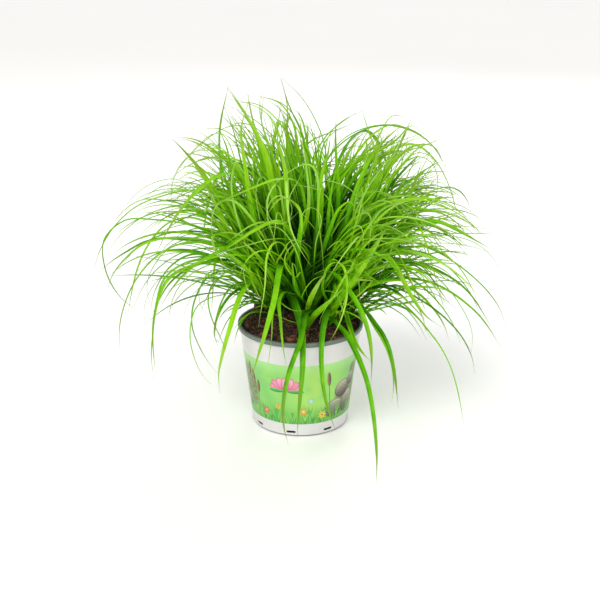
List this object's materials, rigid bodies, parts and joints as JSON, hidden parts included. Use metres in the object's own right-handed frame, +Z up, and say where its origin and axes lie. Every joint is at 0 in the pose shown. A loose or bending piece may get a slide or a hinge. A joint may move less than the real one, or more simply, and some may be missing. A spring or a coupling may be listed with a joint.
{
  "type": "potted umbrella sedge",
  "caption": "Young umbrella sedge: a tuft of long arching keeled leaves on grassy shoots, growing in a tapered nursery pot with a printed sleeve.",
  "frame": {"origin": "centre of the pot's flat underside", "axes": "+Z up, front of the sleeve's print towards -Y, +X to the right seen from the front"},
  "size_m": [0.4076, 0.4051, 0.3272],
  "materials": {
    "pot_plastic": "satin moulded grey plastic",
    "sleeve_print": "glossy white sheet printed with a green meadow band",
    "potting_soil": "loose dark brown coir and peat",
    "shoot_green": "fresh yellow-green leaf bases and inner blades, satin",
    "leaf_green": "smooth mid-green leaf, satin with fine veins along it"
  },
  "bodies": {
    "root": {"pot": "pot_plastic", "printed_sleeve": "sleeve_print", "root_ball": "potting_soil", "shoot_01": "shoot_green", "shoot_02": "shoot_green", "shoot_03": "shoot_green", "shoot_04": "shoot_green", "shoot_05": "shoot_green", "shoot_06": "shoot_green", "shoot_07": "shoot_green", "shoot_08": "shoot_green", "shoot_09": "shoot_green", "shoot_10": "shoot_green", "shoot_11": "shoot_green", "shoot_12": "shoot_green", "shoot_13": "shoot_green", "leaf_01": "leaf_green", "leaf_02": "leaf_green", "leaf_03": "leaf_green", "leaf_04": "leaf_green", "leaf_05": "leaf_green", "leaf_06": "leaf_green", "leaf_07": "leaf_green", "leaf_08": "leaf_green", "leaf_09": "leaf_green", "leaf_10": "leaf_green", "leaf_11": "leaf_green", "leaf_12": "leaf_green", "leaf_13": "leaf_green", "leaf_14": "leaf_green", "leaf_15": "leaf_green", "leaf_16": "leaf_green", "leaf_17": "leaf_green", "leaf_18": "leaf_green", "leaf_19": "leaf_green", "leaf_20": "leaf_green", "leaf_21": "leaf_green", "leaf_22": "leaf_green", "leaf_23": "leaf_green", "leaf_24": "leaf_green", "leaf_25": "leaf_green", "leaf_26": "leaf_green", "leaf_27": "leaf_green", "leaf_28": "leaf_green", "leaf_29": "leaf_green", "leaf_30": "leaf_green", "leaf_31": "leaf_green", "leaf_32": "leaf_green", "leaf_33": "leaf_green", "leaf_34": "leaf_green", "leaf_35": "leaf_green", "leaf_36": "leaf_green", "leaf_37": "leaf_green", "leaf_38": "leaf_green", "leaf_39": "leaf_green", "leaf_40": "leaf_green", "leaf_41": "leaf_green", "leaf_42": "leaf_green"}
  },
  "joints": []
}
